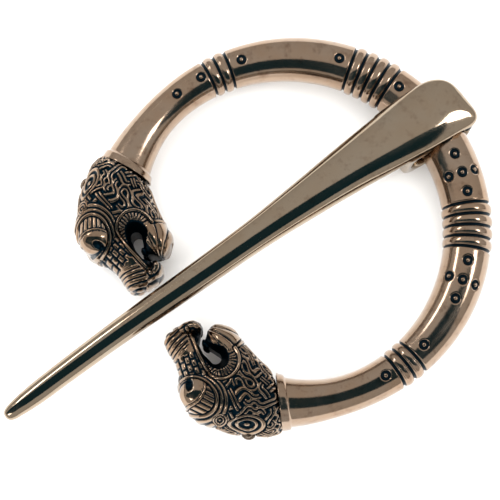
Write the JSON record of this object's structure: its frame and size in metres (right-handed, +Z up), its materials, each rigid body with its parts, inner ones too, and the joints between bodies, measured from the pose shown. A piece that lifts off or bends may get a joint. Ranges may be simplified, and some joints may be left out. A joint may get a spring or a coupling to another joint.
{
  "type": "penannular brooch",
  "caption": "Cast bronze cloak brooch: an open ring with beast-head ends and a long pin that turns and swings on it.",
  "frame": {"origin": "centre of the hoop's circle, on the plane that the brooch lies on", "axes": "+Z up, out of the front of the brooch; +X and +Y in the plane of the hoop, as the picture shows it, with the pin's head towards +X +Y and the opening between the beast heads towards -X -Y"},
  "size_m": [0.0775, 0.066, 0.0143],
  "materials": {
    "cast_bronze": "patinated cast bronze, rubbed bright on its high places",
    "wrought_bronze": "satin bronze, worn smooth"
  },
  "bodies": {
    "ring": {"hoop": "cast_bronze"},
    "fastener": {"pin": "wrought_bronze"}
  },
  "joints": [
    {"name": "pin_swing", "type": "hinge", "parent": "ring", "child": "fastener", "pos_m": [0.02214, 0.0181, 0.00645], "axis": [-0.633, 0.7742, 0], "range_deg": [0, 345]}
  ]
}
